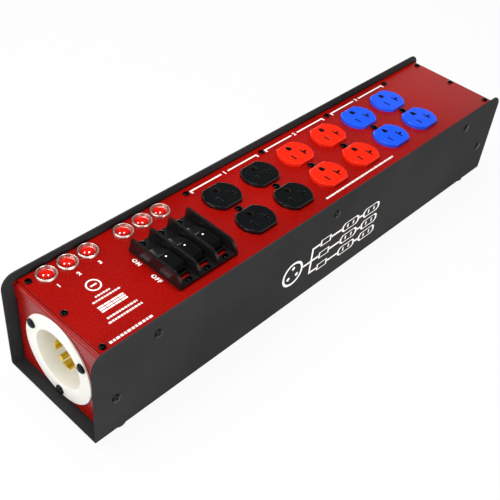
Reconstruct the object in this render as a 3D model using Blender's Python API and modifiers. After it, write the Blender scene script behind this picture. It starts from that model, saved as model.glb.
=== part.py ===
"""A three-phase power stringer box: a long sheet-metal box that splits one 30 A feed
into six duplex outlets, with a breaker and two pilot lamps for each phase.

+X runs from the inlet end to the far end, -Y is the near side, +Z is up, and z = 0 is
the surface that the rubber feet stand on. All sizes are in metres.
"""

import math

import bmesh
import bpy
from mathutils import Matrix, Vector

# Clearance between pieces that touch, and the sheet that the box is folded from
GAP = 0.0003
SHEET = 0.0016

# Outer shell: one black sheet folded up into a bottom and two sides
SHELL_LENGTH = 0.520
SHELL_WIDTH = 0.104
SHELL_HEIGHT = 0.0915
SHELL_BEND = 0.0022
SHELL_CORNER = 0.012

# Red top panel and end plates, set down inside the shell
PANEL_DROP = 0.0062
PANEL_FLANGE = 0.016
PANEL_BEND = 0.0024
INLET_RECESS = 0.0097
FAR_RECESS = 0.0050
END_BEND = 0.0030
END_TOP_FLANGE = 0.0125
END_SIDE_FLANGE = 0.018
BEND_RELIEF = 0.0010

# Rubber feet
FOOT_HEIGHT = 0.0060
FOOT_RADIUS = 0.0085
FOOT_TAPER = 0.0008
FOOT_INSET_X = 0.0270
FOOT_INSET_Y = 0.0107
FOOT_BORE_DEPTH = 0.0034
FOOT_SIDES = 16

# Screws: a button head on a plain shank
SCREW_HEAD = 0.0031
SCREW_RISE = 0.0017
SCREW_SHANK = 0.0015
SCREW_SIDES = 8
PANEL_SCREW_END = 0.0046
PANEL_SCREW_EDGE = 0.0101
ROW_SCREW_FIRST = 0.1735
ROW_SCREW_PITCH = 0.0919
ROW_SCREW_COUNT = 4
SIDE_SCREW_END = 0.059
SIDE_SCREW_DROP = 0.0150
END_SCREW_INSET = 0.0195
END_SCREW_HEIGHT = 0.0373

# Duplex outlets
OUTLET_COUNT = 6
OUTLET_FIRST = 0.1931
OUTLET_PITCH = 0.04604
OUTLET_SPREAD = 0.0389
FACE_RADIUS = 0.01705
FACE_FLAT = 0.0143
FACE_RISE = 0.0034
FACE_SINK = 0.0010
FACE_CHAMFER = 0.0006
FACE_SIDES = 20
FACE_BASE = (0.0330, 0.0680, 0.0040)
SLOT_WIDTH = 0.0022
HOT_SLOT = 0.0070
NEUTRAL_SLOT = 0.0086
NEUTRAL_LEG = 0.0034
SLOT_SPACING = 0.0127
SLOT_LINE = -0.0039
GROUND_LINE = 0.0080
GROUND_WIDTH = 0.0052
GROUND_HEIGHT = 0.0060
BODY_DEPTH = 0.0210
WELL_DEPTH = 0.0135
WELL_WALL = 0.0008
CENTRE_SCREW_HEAD = 0.0034
CENTRE_SCREW_LENGTH = 0.0120
TERMINAL_RADIUS = 0.0032
TERMINAL_HEIGHT = 0.0022
TERMINAL_SPREAD = 0.0180
TERMINAL_DROP = 0.0110

# Circuit breakers and the guard around their handles
BREAKER_COUNT = 3
BREAKER_FIRST = 0.1039
BREAKER_PITCH = 0.01905
BREAKER_EDGE = 0.0430
BREAKER_BODY = (0.0184, 0.0635, 0.0420)
BREAKER_RIM = 0.0012
BREAKER_SCREW_PITCH = 0.0524
BREAKER_HOLE_DEPTH = 0.0090
BREAKER_STUD = 0.0025
BREAKER_STUD_LENGTH = 0.0085
GUARD_LENGTH = 0.0580
GUARD_FLOOR = 0.0023
GUARD_HEIGHT = 0.0130
GUARD_WALL = 0.00235
GUARD_NOSE = 0.0098
GUARD_TAIL = 0.0020
WINDOW_LENGTH = 0.0044
WINDOW_WIDTH = 0.0122
WINDOW_WEB = 0.0010
PIVOT_DROP = 0.0030
ROCKER_WIDTH = 0.0134
ROCKER_HALF = 0.0155
ROCKER_CROWN = 0.0117
ROCKER_CROWN_RADIUS = 0.0040
ROCKER_SKIRT = 0.0015
ROCKER_HUB = 0.0034
ROCKER_TILT = math.radians(11)
PIN_RADIUS = 0.0012
PIN_SIDES = 12

# Pilot lamps
LAMP_ROW_EDGE = 0.0127
LAMP_FIRST = 0.0312
LAMP_COUNT = 3
LAMP_PITCH = 0.01905
BEZEL_RADIUS = 0.0082
BEZEL_RISE = 0.0021
BEZEL_RIM = 0.0006
BEZEL_SLOPE = 0.0012
BEZEL_MOUTH = 0.0060
NECK_RADIUS = 0.0063
NECK_BORE = 0.0050
LEDGE_DROP = 0.0013
LENS_RISE = 0.0019
LAMP_LENGTH = 0.0180
NUT_RADIUS = 0.0079
NUT_HEIGHT = 0.0025
LAMP_SIDES = 16

# Flanged inlet
INLET_HEIGHT = 0.0420
FLANGE_RADIUS = 0.0382
FLANGE_THICKNESS = 0.0014
FLANGE_ROUND = 0.0006
CAVITY_RADIUS = 0.0254
CAVITY_DEPTH = 0.0280
CAVITY_FLOOR = 0.0080
BARREL_WALL = 0.0030
INLET_SIDES = 32
INLET_SCREW_CIRCLE = 0.03335
INLET_SCREW_HEAD = 0.0042
INLET_SCREW_RISE = 0.0020
INLET_SCREW_LENGTH = 0.0080
INLET_SCREW_START = math.radians(30)
BLADE_CIRCLE = 0.0128
BLADE_THICKNESS = 0.0016
BLADE_SPAN = math.radians(40)
BLADE_SETBACK = 0.0070
BLADE_TAIL = 0.0070
GROUND_PIN_RADIUS = 0.0025
GROUND_PIN_SETBACK = 0.0030

# Bus bars under the panel
BRACKET_SHEET = 0.0012
BRACKET_DEPTH = 0.0440
BRACKET_OVERHANG = 0.0090
BRACKET_EDGE = 0.0044
BAR_SECTION = (0.0065, 0.0080)
BAR_LENGTH = 0.2400
NEUTRAL_BAR_DROP = 0.0180
GROUND_BAR_DROP = 0.0330
BAR_SCREW_COUNT = 8
BAR_SCREW_RADIUS = 0.0022
BAR_SCREW_RISE = 0.0018

# Planes that several pieces share
SHELL_BOTTOM = FOOT_HEIGHT
SHELL_TOP = SHELL_BOTTOM + SHELL_HEIGHT
PANEL_TOP = SHELL_TOP - PANEL_DROP
PANEL_UNDER = PANEL_TOP - SHEET
SEAT = PANEL_TOP + GAP
UNDER_SEAT = PANEL_UNDER - GAP
INNER_HALF = SHELL_WIDTH / 2 - SHEET - GAP
INLET_FACE = -SHELL_LENGTH / 2 + INLET_RECESS
FAR_FACE = SHELL_LENGTH / 2 - FAR_RECESS
PANEL_START = INLET_FACE + END_BEND
PANEL_END = FAR_FACE - END_BEND
SHANK_HOLE = SCREW_SHANK + GAP
INLET_Z = SHELL_BOTTOM + INLET_HEIGHT
BREAKER_Y = BREAKER_EDGE - SHELL_WIDTH / 2
LAMP_Y = SHELL_WIDTH / 2 - LAMP_ROW_EDGE
PIVOT_Z = PANEL_TOP - PIVOT_DROP
ROCKER_SHOULDER = (ROCKER_CROWN - ROCKER_CROWN_RADIUS * (1 - math.cos(ROCKER_TILT))
                   - (ROCKER_HALF - ROCKER_CROWN_RADIUS * math.sin(ROCKER_TILT))
                   * math.tan(ROCKER_TILT))
ROCKER_SWING = (ROCKER_HALF * math.cos(ROCKER_TILT)
                + ROCKER_SHOULDER * math.sin(ROCKER_TILT))
ROCKER_SLOT = (ROCKER_WIDTH + 2 * GAP, 2 * (ROCKER_SWING + GAP))
BREAKER_BOSS = (ROCKER_SLOT[0] + 2 * BREAKER_RIM, ROCKER_SLOT[1] + 2 * BREAKER_RIM)

TURN_TO_X = Matrix.Rotation(math.pi / 2, 4, "Y")
TURN_TO_MINUS_X = Matrix.Rotation(-math.pi / 2, 4, "Y")
TURN_TO_Y = Matrix.Rotation(-math.pi / 2, 4, "X")
# Stands an outline drawn in XY on its edge: its x becomes Y, and its y becomes Z
EDGE_ON = Matrix(((0, 0, 1, 0), (1, 0, 0, 0), (0, 1, 0, 0), (0, 0, 0, 1)))


def along(distance):
    """X of a point at this distance from the inlet end of the shell."""
    return distance - SHELL_LENGTH / 2


def at(x, y, z, turn=None):
    """A matrix that puts a piece at a point, turned first."""
    place = Matrix.Translation((x, y, z))
    return place @ turn if turn else place


def clear_scene():
    for obj in list(bpy.data.objects):
        bpy.data.objects.remove(obj, do_unlink=True)


def new_collection(name):
    collection = bpy.data.collections.new(name)
    bpy.context.scene.collection.children.link(collection)
    return collection


def make_material(name, colour, roughness, metallic=0.0):
    material = bpy.data.materials.new(name)
    material.use_nodes = True
    shader = material.node_tree.nodes["Principled BSDF"]
    shader.inputs["Base Color"].default_value = (*colour, 1.0)
    shader.inputs["Roughness"].default_value = roughness
    shader.inputs["Metallic"].default_value = metallic
    return material


def box_mesh(size):
    """A box of this size, centred on the origin."""
    bm = bmesh.new()
    bmesh.ops.create_cube(bm, size=1.0, matrix=Matrix.Diagonal((*size, 1.0)))
    return finish_mesh(bm, "box")


def rod_mesh(radius, length, sides, turn=None):
    """A cylinder along Z, centred on the origin, or turned to another axis."""
    bm = bmesh.new()
    bmesh.ops.create_cone(bm, cap_ends=True, segments=sides, radius1=radius,
                          radius2=radius, depth=length, matrix=turn or Matrix())
    return finish_mesh(bm, "rod")


def finish_mesh(bm, name):
    mesh = bpy.data.meshes.new(name)
    bm.to_mesh(mesh)
    bm.free()
    return mesh


def evaluated_mesh(obj):
    """The mesh that an object's modifiers make, with the object itself removed."""
    bpy.context.view_layer.update()
    graph = bpy.context.evaluated_depsgraph_get()
    mesh = bpy.data.meshes.new_from_object(obj.evaluated_get(graph))
    bpy.data.objects.remove(obj, do_unlink=True)
    return mesh


def turned_mesh(profile, sides, closed=False):
    """A profile of (radius, height) points, running down its outer side, turned about Z."""
    bm = bmesh.new()
    points = [bm.verts.new((radius, 0.0, height)) for radius, height in profile]
    pairs = list(zip(points, points[1:]))
    if closed:
        pairs.append((points[-1], points[0]))
    for first, second in pairs:
        bm.edges.new((first, second))
    obj = bpy.data.objects.new("profile", finish_mesh(bm, "profile"))
    cutters.objects.link(obj)
    screw = obj.modifiers.new("turn", "SCREW")
    screw.axis = "Z"
    screw.steps = sides
    screw.render_steps = sides
    screw.use_merge_vertices = True
    screw.merge_threshold = 0.00001
    return evaluated_mesh(obj)


def outline_mesh(loops, thickness):
    """A flat plate in XY from closed loops of points, the later loops being holes."""
    curve = bpy.data.curves.new("outline", "CURVE")
    curve.dimensions = "2D"
    curve.fill_mode = "BOTH"
    curve.extrude = thickness / 2
    for loop in loops:
        spline = curve.splines.new("POLY")
        spline.points.add(len(loop) - 1)
        for point, (x, y) in zip(spline.points, loop):
            point.co = (x, y, 0.0, 1.0)
        spline.use_cyclic_u = True
    obj = bpy.data.objects.new("outline", curve)
    cutters.objects.link(obj)
    mesh = evaluated_mesh(obj)
    bm = bmesh.new()
    bm.from_mesh(mesh)
    bmesh.ops.remove_doubles(bm, verts=bm.verts, dist=0.00001)
    bm.to_mesh(mesh)
    bm.free()
    return mesh


def merged_mesh(pieces):
    """One mesh from (mesh, matrix) pairs."""
    bm = bmesh.new()
    for mesh, matrix in pieces:
        start = len(bm.verts)
        bm.from_mesh(mesh)
        bm.verts.ensure_lookup_table()
        bmesh.ops.transform(bm, matrix=matrix, verts=bm.verts[start:])
    return finish_mesh(bm, "merged")


def add_piece(name, mesh, material, location=(0.0, 0.0, 0.0), smooth=False):
    """A named object of the part."""
    mesh = mesh.copy()
    mesh.name = name
    mesh.materials.clear()
    mesh.materials.append(material)
    if smooth:
        mesh.shade_smooth()
        mesh.set_sharp_from_angle(angle=math.radians(35))
    obj = bpy.data.objects.new(name, mesh)
    obj.location = location
    stringer.objects.link(obj)
    return obj


def combine(target, pieces, operation):
    """Joins or cuts a piece by (mesh, matrix) pairs given in the piece's own frame."""
    tool = bpy.data.objects.new(target.name + "_tool", merged_mesh(pieces))
    tool.parent = target
    tool.hide_render = True
    tool.display_type = "WIRE"
    cutters.objects.link(tool)
    step = target.modifiers.new(operation.lower(), "BOOLEAN")
    step.operation = operation
    step.object = tool
    step.solver = "EXACT"


def cut(target, pieces):
    combine(target, pieces, "DIFFERENCE")


def join(target, pieces):
    combine(target, pieces, "UNION")


def arc(centre, radius, start, end, steps):
    """Points of a circular arc, both ends included."""
    angles = [start + (end - start) * step / steps for step in range(steps + 1)]
    return [(centre[0] + radius * math.cos(a), centre[1] + radius * math.sin(a))
            for a in angles]


def folded_sheet(length, width, bend, folds, corner=0.0):
    """A sheet in XY with its outer face on z = 0, folded towards +Z.

    folds maps "+x", "+y", "-x" or "-y" to (start, end, depth): the stretch of that side
    that is folded, measured along the other axis from the sheet's middle, and how far
    the fold reaches. corner rounds the free corners of the folds.
    """
    bm = bmesh.new()
    sides = [("+x", Vector((1, 0, 0)), Vector((0, 1, 0)), length / 2, width / 2),
             ("+y", Vector((0, 1, 0)), Vector((-1, 0, 0)), width / 2, length / 2),
             ("-x", Vector((-1, 0, 0)), Vector((0, -1, 0)), length / 2, width / 2),
             ("-y", Vector((0, -1, 0)), Vector((1, 0, 0)), width / 2, length / 2)]
    spans = []
    for name, _, run, _, half in sides:
        start, end, depth = folds.get(name, (half, half, 0.0))
        if run.x + run.y < 0:
            start, end = -end, -start
        spans.append((start, end, depth, start <= -half, end >= half))
    outline = []
    strips = []
    for index, (name, out, run, reach, half) in enumerate(sides):
        start, end, depth, _, _ = spans[index]
        from_run = bend - half if spans[index - 1][4] else -half
        to_run = half - bend if spans[(index + 1) % 4][3] else half
        if name not in folds:
            outline += [out * reach + run * from_run, out * reach + run * to_run]
            continue
        flat = out * (reach - bend)
        if start > from_run + BEND_RELIEF:
            outline += [out * reach + run * from_run,
                        out * reach + run * (start - BEND_RELIEF),
                        flat + run * (start - BEND_RELIEF)]
        outline += [flat + run * start, flat + run * end]
        strips.append((len(outline) - 2, out, depth))
        if end < to_run - BEND_RELIEF:
            outline += [flat + run * (end + BEND_RELIEF),
                        out * reach + run * (end + BEND_RELIEF),
                        out * reach + run * to_run]
    verts = [bm.verts.new(point) for point in outline]
    bm.faces.new(verts)
    tips = []
    for index, out, depth in strips:
        edge = (verts[index], verts[(index + 1) % len(verts)])
        tips += fold_strip(bm, edge, out, bend, depth)
    if corner:
        bmesh.ops.bevel(bm, geom=tips, offset=corner, segments=6, profile=0.5,
                        affect="VERTICES")
    bmesh.ops.remove_doubles(bm, verts=bm.verts, dist=0.00001)
    bmesh.ops.recalc_face_normals(bm, faces=bm.faces)
    if max(bm.faces, key=lambda face: face.calc_area() * abs(face.normal.z)).normal.z > 0:
        bmesh.ops.reverse_faces(bm, faces=bm.faces)
    obj = bpy.data.objects.new("sheet", finish_mesh(bm, "sheet"))
    cutters.objects.link(obj)
    shell = obj.modifiers.new("thickness", "SOLIDIFY")
    shell.thickness = SHEET
    shell.offset = -1.0
    shell.use_even_offset = True
    return evaluated_mesh(obj)


def fold_strip(bm, edge, out, bend, depth, steps=4):
    """Adds the bend and the flat of one fold to an edge, and returns its free corners."""
    last = edge
    for step in range(1, steps + 1):
        angle = math.pi / 2 * step / steps
        shift = out * bend * math.sin(angle) + Vector((0, 0, bend * (1 - math.cos(angle))))
        row = tuple(bm.verts.new(vert.co + shift) for vert in edge)
        bm.faces.new((last[0], last[1], row[1], row[0]))
        last = row
    row = tuple(bm.verts.new(vert.co + Vector((0, 0, depth - bend))) for vert in last)
    bm.faces.new((last[0], last[1], row[1], row[0]))
    return list(row)


def button_screw(head, rise, shank, length, sides=SCREW_SIDES):
    """A domed screw standing on z = 0 with its shank below."""
    profile = [(0.0, rise), (head * 0.58, rise * 0.86), (head * 0.9, rise * 0.45),
               (head, 0.0), (shank, 0.0), (shank, -length), (0.0, -length)]
    return turned_mesh(profile, sides)


def flat_tool(size, x, y, z, depth):
    """A box tool of this (x, y) size that cuts from z down to a depth."""
    return box_mesh((size[0], size[1], depth)), at(x, y, z - depth / 2)


def panel_screw_places():
    ends = (PANEL_START + PANEL_SCREW_END, PANEL_END - PANEL_SCREW_END)
    rows = (-SHELL_WIDTH / 2 + PANEL_SCREW_EDGE, 0.0, SHELL_WIDTH / 2 - PANEL_SCREW_EDGE)
    return [(x, y) for x in ends for y in rows]


def row_screw_places():
    return [(along(ROW_SCREW_FIRST + ROW_SCREW_PITCH * index),
             SHELL_WIDTH / 2 - PANEL_SCREW_EDGE) for index in range(ROW_SCREW_COUNT)]


def side_screw_places():
    """(x, z) of the screws along the panel's flanges, then of those in the end plates."""
    upper = SHELL_TOP - SIDE_SCREW_DROP
    lower = SHELL_BOTTOM + END_SCREW_HEIGHT
    places = [(along(SIDE_SCREW_END), upper), (0.0, upper), (-along(SIDE_SCREW_END), upper)]
    return places + [(along(END_SCREW_INSET), lower), (-along(END_SCREW_INSET), lower)]


def foot_places():
    x = SHELL_LENGTH / 2 - FOOT_INSET_X
    y = SHELL_WIDTH / 2 - FOOT_INSET_Y
    return [(sx * x, sy * y) for sx in (-1, 1) for sy in (-1, 1)]


def outlet_centres():
    return [along(OUTLET_FIRST + OUTLET_PITCH * index) for index in range(OUTLET_COUNT)]


def breaker_centres():
    return [along(BREAKER_FIRST + BREAKER_PITCH * index) for index in range(BREAKER_COUNT)]


def lamp_centres():
    """The input lamps, then one lamp in line with each breaker."""
    inputs = [along(LAMP_FIRST + LAMP_PITCH * index) for index in range(LAMP_COUNT)]
    return inputs + breaker_centres()


def side_holes():
    """Rods that drill both sides of the box for the side screws."""
    rod = rod_mesh(SHANK_HOLE, 0.012, SCREW_SIDES, TURN_TO_Y)
    return [(rod, at(x, side * SHELL_WIDTH / 2, z))
            for x, z in side_screw_places() for side in (-1, 1)]


def make_shell():
    folds = {"+y": (-SHELL_LENGTH / 2, SHELL_LENGTH / 2, SHELL_HEIGHT),
             "-y": (-SHELL_LENGTH / 2, SHELL_LENGTH / 2, SHELL_HEIGHT)}
    mesh = folded_sheet(SHELL_LENGTH, SHELL_WIDTH, SHELL_BEND, folds, SHELL_CORNER)
    shell = add_piece("shell", mesh, black_powder, (0, 0, SHELL_BOTTOM), smooth=True)
    foot_hole = rod_mesh(SHANK_HOLE, SHEET * 4, SCREW_SIDES)
    tools = [(mesh, at(0, 0, -SHELL_BOTTOM) @ matrix) for mesh, matrix in side_holes()]
    tools += [(foot_hole, at(x, y, 0)) for x, y in foot_places()]
    cut(shell, tools)


def face_outline(clearance=0.0):
    """A round outlet face with two flats, grown by a clearance."""
    radius = FACE_RADIUS + clearance
    half = math.asin((FACE_FLAT + clearance) / radius)
    steps = FACE_SIDES // 4
    right = arc((0, 0), radius, -half, half, steps)
    left = arc((0, 0), radius, math.pi - half, math.pi + half, steps)
    return right + left


def make_top_panel():
    length = PANEL_END - PANEL_START
    middle = (PANEL_END + PANEL_START) / 2
    folds = {"+y": (-length / 2, length / 2, PANEL_FLANGE),
             "-y": (-length / 2, length / 2, PANEL_FLANGE)}
    mesh = folded_sheet(length, INNER_HALF * 2, PANEL_BEND, folds)
    mesh.transform(Matrix.Rotation(math.pi, 4, "X"))
    panel = add_piece("top_panel", mesh, red_powder, (middle, 0, PANEL_TOP), smooth=True)
    home = at(-middle, 0, -PANEL_TOP)
    screw_hole = rod_mesh(SHANK_HOLE, SHEET * 4, SCREW_SIDES)
    neck_hole = rod_mesh(NECK_RADIUS + GAP, SHEET * 4, LAMP_SIDES)
    opening = outline_mesh([face_outline(GAP)], SHEET * 4)
    boss = (BREAKER_BOSS[0] + 2 * GAP, BREAKER_BOSS[1] + 2 * GAP)
    tools = [(screw_hole, at(x, y, PANEL_TOP)) for x, y in panel_screw_places()]
    tools += [(screw_hole, at(x, y, PANEL_TOP)) for x, y in row_screw_places()]
    tools += [(screw_hole, at(x, 0, PANEL_TOP)) for x in outlet_centres()]
    tools += [(opening, at(x, side * OUTLET_SPREAD / 2, PANEL_TOP))
              for x in outlet_centres() for side in (-1, 1)]
    tools += [(neck_hole, at(x, LAMP_Y, PANEL_TOP)) for x in lamp_centres()]
    for x in breaker_centres():
        tools.append(flat_tool(boss, x, BREAKER_Y, PANEL_TOP + SHEET, SHEET * 3))
        tools += [(screw_hole, at(x, BREAKER_Y + side * BREAKER_SCREW_PITCH / 2, PANEL_TOP))
                  for side in (-1, 1)]
    tools += side_holes()
    cut(panel, [(mesh, home @ matrix) for mesh, matrix in tools])


def end_plate_mesh():
    """An end plate lying with its outer face down and its top towards +X."""
    bottom = SHELL_BOTTOM + SHELL_BEND + GAP
    height = UNDER_SEAT - bottom
    side_end = PANEL_TOP - PANEL_FLANGE - BEND_RELIEF - GAP - bottom - height / 2
    top_half = INNER_HALF - SHEET - 2 * GAP
    folds = {"+x": (-top_half, top_half, END_TOP_FLANGE),
             "+y": (-height / 2, side_end, END_SIDE_FLANGE),
             "-y": (-height / 2, side_end, END_SIDE_FLANGE)}
    mesh = folded_sheet(height, INNER_HALF * 2, END_BEND, folds)
    return mesh, bottom + height / 2


def make_end_plates():
    mesh, middle = end_plate_mesh()
    hole = rod_mesh(SHANK_HOLE, SHEET * 4, SCREW_SIDES)
    # The plate's height turns up, and its outer face turns to -X.
    inlet_mesh = mesh.copy()
    inlet_mesh.transform(Matrix(((0, 0, 1, 0), (0, -1, 0, 0), (1, 0, 0, 0), (0, 0, 0, 1))))
    far_mesh = mesh.copy()
    far_mesh.transform(Matrix(((0, 0, -1, 0), (0, 1, 0, 0), (1, 0, 0, 0), (0, 0, 0, 1))))
    for name, plate_mesh, face in (("inlet_end_plate", inlet_mesh, INLET_FACE),
                                   ("far_end_plate", far_mesh, FAR_FACE)):
        plate = add_piece(name, plate_mesh, red_powder, (face, 0, middle), smooth=True)
        tools = [(hole, at(x, y, PANEL_TOP)) for x, y in panel_screw_places()]
        tools += side_holes()
        if face == INLET_FACE:
            barrel = CAVITY_RADIUS + BARREL_WALL + GAP
            tools.append((rod_mesh(barrel, SHEET * 4, INLET_SIDES, TURN_TO_X),
                          at(face, 0, INLET_Z)))
            drill = rod_mesh(SHANK_HOLE, SHEET * 4, SCREW_SIDES, TURN_TO_X)
            tools += [(drill, at(face, y, z)) for y, z in inlet_screw_places()]
        home = at(-face, 0, -middle)
        cut(plate, [(mesh, home @ matrix) for mesh, matrix in tools])


def make_feet():
    """Each foot is a moulded bumper, turned about the bore that sinks its screw head."""
    top = SHELL_BOTTOM - GAP
    bore = SCREW_HEAD + 2 * GAP
    foot = turned_mesh([(SHANK_HOLE, top), (FOOT_RADIUS, top), (FOOT_RADIUS - FOOT_TAPER, 0.0),
                        (bore, 0.0), (bore, FOOT_BORE_DEPTH), (SHANK_HOLE, FOOT_BORE_DEPTH)],
                       FOOT_SIDES, closed=True)
    for index, (x, y) in enumerate(foot_places()):
        add_piece(f"rubber_foot_{index + 1}", foot, rubber, (x, y, 0), smooth=True)


def ground_outline():
    """A ground hole: flat on the slot side and round on the other."""
    half = GROUND_WIDTH / 2
    low = -GROUND_HEIGHT / 2
    centre = GROUND_HEIGHT / 2 - half
    return [(-half, low), (half, low)] + arc((0, centre), half, 0, math.pi, 8)


def neutral_outline():
    """The T slot that takes a 15 A or a 20 A neutral blade."""
    half = SLOT_WIDTH / 2
    reach = NEUTRAL_SLOT / 2
    leg = half + NEUTRAL_LEG
    return [(-half, -reach), (half, -reach), (half, -half), (leg, -half), (leg, half),
            (half, half), (half, reach), (-half, reach)]


def slot_tools(depth):
    """Tools for the blade slots and ground hole of one face, centred on that face."""
    hot = box_mesh((SLOT_WIDTH, HOT_SLOT, depth))
    neutral = outline_mesh([neutral_outline()], depth)
    ground = outline_mesh([ground_outline()], depth)
    return [(hot, at(-SLOT_SPACING / 2, SLOT_LINE, 0)),
            (neutral, at(SLOT_SPACING / 2, SLOT_LINE, 0)),
            (ground, at(0, GROUND_LINE, 0))]


def well_tools(depth):
    """Tools for the contact wells under one face."""
    blade = (SLOT_WIDTH + 2 * WELL_WALL, NEUTRAL_SLOT + 2 * WELL_WALL, depth)
    neutral = (blade[0] + NEUTRAL_LEG, blade[1], depth)
    ground = (GROUND_WIDTH + 2 * WELL_WALL, GROUND_HEIGHT + 2 * WELL_WALL, depth)
    return [(box_mesh(blade), at(-SLOT_SPACING / 2, SLOT_LINE, 0)),
            (box_mesh(neutral), at(SLOT_SPACING / 2 + NEUTRAL_LEG / 2, SLOT_LINE, 0)),
            (box_mesh(ground), at(0, GROUND_LINE, 0))]


def make_outlets():
    """Each outlet is a coloured face moulding screwed down with a dark back body."""
    base_middle = UNDER_SEAT - FACE_BASE[2] / 2
    base = box_mesh(FACE_BASE)
    boss_height = PANEL_TOP + FACE_RISE - UNDER_SEAT + FACE_SINK
    boss = chamfered(outline_mesh([face_outline()], boss_height))
    boss_lift = PANEL_TOP + FACE_RISE - boss_height / 2 - base_middle
    body_top = UNDER_SEAT - FACE_BASE[2] - GAP
    body = box_mesh((FACE_BASE[0], FACE_BASE[1], BODY_DEPTH))
    drill = rod_mesh(SHANK_HOLE, CENTRE_SCREW_LENGTH * 2, SCREW_SIDES)
    slots = slot_tools(boss_height * 4)
    wells = well_tools(WELL_DEPTH * 2)
    screw = button_screw(CENTRE_SCREW_HEAD, SCREW_RISE, SCREW_SHANK, CENTRE_SCREW_LENGTH)
    halves = [at(0, side * OUTLET_SPREAD / 2, 0) for side in (-1, 1)]
    top = at(0, 0, BODY_DEPTH / 2)
    for index, x in enumerate(outlet_centres()):
        plastic = outlet_plastics[index // 2]
        face = add_piece(f"outlet_face_{index + 1}", base, plastic, (x, 0, base_middle))
        join(face, [(boss, at(0, 0, boss_lift) @ half) for half in halves])
        holes = [(mesh, half @ place) for half in halves for mesh, place in slots]
        cut(face, holes + [(drill, Matrix())])
        back = add_piece(f"outlet_body_{index + 1}", body, phenolic,
                         (x, 0, body_top - BODY_DEPTH / 2))
        join(back, terminal_heads())
        holes = [(mesh, top @ half @ place) for half in halves for mesh, place in wells]
        cut(back, holes + [(drill, top)])
        add_piece(f"outlet_screw_{index + 1}", screw, black_oxide, (x, 0, SEAT), smooth=True)


def terminal_heads():
    """The wiring screws down both sides of an outlet body."""
    head = rod_mesh(TERMINAL_RADIUS, 2 * TERMINAL_HEIGHT, 8, TURN_TO_X)
    z = BODY_DEPTH / 2 - TERMINAL_DROP
    return [(head, at(side * FACE_BASE[0] / 2, row * TERMINAL_SPREAD, z))
            for side in (-1, 1) for row in (-1, 1)]


def chamfered(mesh):
    """The mesh with a small chamfer round its top rim."""
    bm = bmesh.new()
    bm.from_mesh(mesh)
    top = max(vert.co.z for vert in bm.verts)
    rim = [edge for edge in bm.edges if len(edge.link_faces) == 2
           and all(abs(vert.co.z - top) < 1e-6 for vert in edge.verts)
           and abs(edge.link_faces[0].normal.z - edge.link_faces[1].normal.z) > 0.5]
    bmesh.ops.bevel(bm, geom=rim, offset=FACE_CHAMFER, segments=1, affect="EDGES")
    return finish_mesh(bm, "chamfered")


def make_breaker_bodies():
    """Each breaker hangs under the panel, with its rim and rocker coming up through it."""
    depth = BREAKER_BODY[2]
    middle = UNDER_SEAT - depth / 2
    body = box_mesh(BREAKER_BODY)
    rim_height = PANEL_TOP - UNDER_SEAT + SHEET
    rim = box_mesh((*BREAKER_BOSS, rim_height))
    stud = rod_mesh(BREAKER_STUD, 2 * BREAKER_STUD_LENGTH, SCREW_SIDES)
    pocket_depth = PIVOT_DROP + ROCKER_HALF * math.sin(ROCKER_TILT) + SHEET
    pocket = flat_tool(ROCKER_SLOT, 0, 0, PANEL_TOP + SHEET - middle, pocket_depth + SHEET)
    bore = rod_mesh(PIN_RADIUS + GAP, BREAKER_PITCH, PIN_SIDES, TURN_TO_X)
    hole = rod_mesh(SHANK_HOLE, 2 * BREAKER_HOLE_DEPTH, SCREW_SIDES)
    ends = [side * BREAKER_SCREW_PITCH / 2 for side in (-1, 1)]
    pin = rod_mesh(PIN_RADIUS, BREAKER_BODY[0] - 2 * GAP, PIN_SIDES, TURN_TO_X)
    for index, x in enumerate(breaker_centres()):
        piece = add_piece(f"breaker_body_{index + 1}", body, phenolic,
                          (x, BREAKER_Y, middle))
        join(piece, [(rim, at(0, 0, PANEL_TOP - rim_height / 2 - middle))]
             + [(stud, at(0, y, -depth / 2)) for y in ends])
        cut(piece, [pocket] + [(hole, at(0, y, depth / 2)) for y in ends])
        cut(piece, [(bore, at(0, 0, PIVOT_Z - middle))])
        add_piece(f"breaker_pin_{index + 1}", pin, steel, (x, BREAKER_Y, PIVOT_Z), smooth=True)


def guard_wall_outline():
    """Side view of a guard wall: (y, z) from the guard's middle and floor underside."""
    half = GUARD_LENGTH / 2 - GAP
    low = GUARD_FLOOR / 2
    nose = [(-half + GUARD_NOSE * (1 - math.cos(angle)),
             low + (GUARD_HEIGHT - GAP - low) * math.sin(angle))
            for angle in (math.pi / 2 * step / 6 for step in range(7))]
    return [(half, low), (half - GUARD_TAIL, GUARD_HEIGHT - GAP)] + nose[::-1]


def make_breaker_guard():
    """One black moulding: a floor with a wall on each side of every handle."""
    width = BREAKER_PITCH * BREAKER_COUNT + GUARD_WALL + 2 * GAP
    middle_x = sum(breaker_centres()) / BREAKER_COUNT
    floor = box_mesh((width, GUARD_LENGTH, GUARD_FLOOR))
    guard = add_piece("breaker_guard", floor, black_nylon,
                      (middle_x, BREAKER_Y, SEAT + GUARD_FLOOR / 2))
    wall = outline_mesh([guard_wall_outline()], GUARD_WALL)
    walls = [(wall, at(BREAKER_PITCH * (index - BREAKER_COUNT / 2), 0, -GUARD_FLOOR / 2)
              @ EDGE_ON) for index in range(BREAKER_COUNT + 1)]
    join(guard, walls)
    hole = rod_mesh(SHANK_HOLE, GUARD_FLOOR * 3, SCREW_SIDES)
    window_y = -ROCKER_SLOT[1] / 2 - WINDOW_WEB - WINDOW_LENGTH / 2
    tools = []
    for x in breaker_centres():
        tools.append(flat_tool(ROCKER_SLOT, x - middle_x, 0, GUARD_FLOOR, GUARD_FLOOR * 3))
        tools.append(flat_tool((WINDOW_WIDTH, WINDOW_LENGTH), x - middle_x, window_y,
                               GUARD_FLOOR, GUARD_FLOOR * 3))
        tools += [(hole, at(x - middle_x, side * BREAKER_SCREW_PITCH / 2, 0))
                  for side in (-1, 1)]
    cut(guard, tools)


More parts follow.
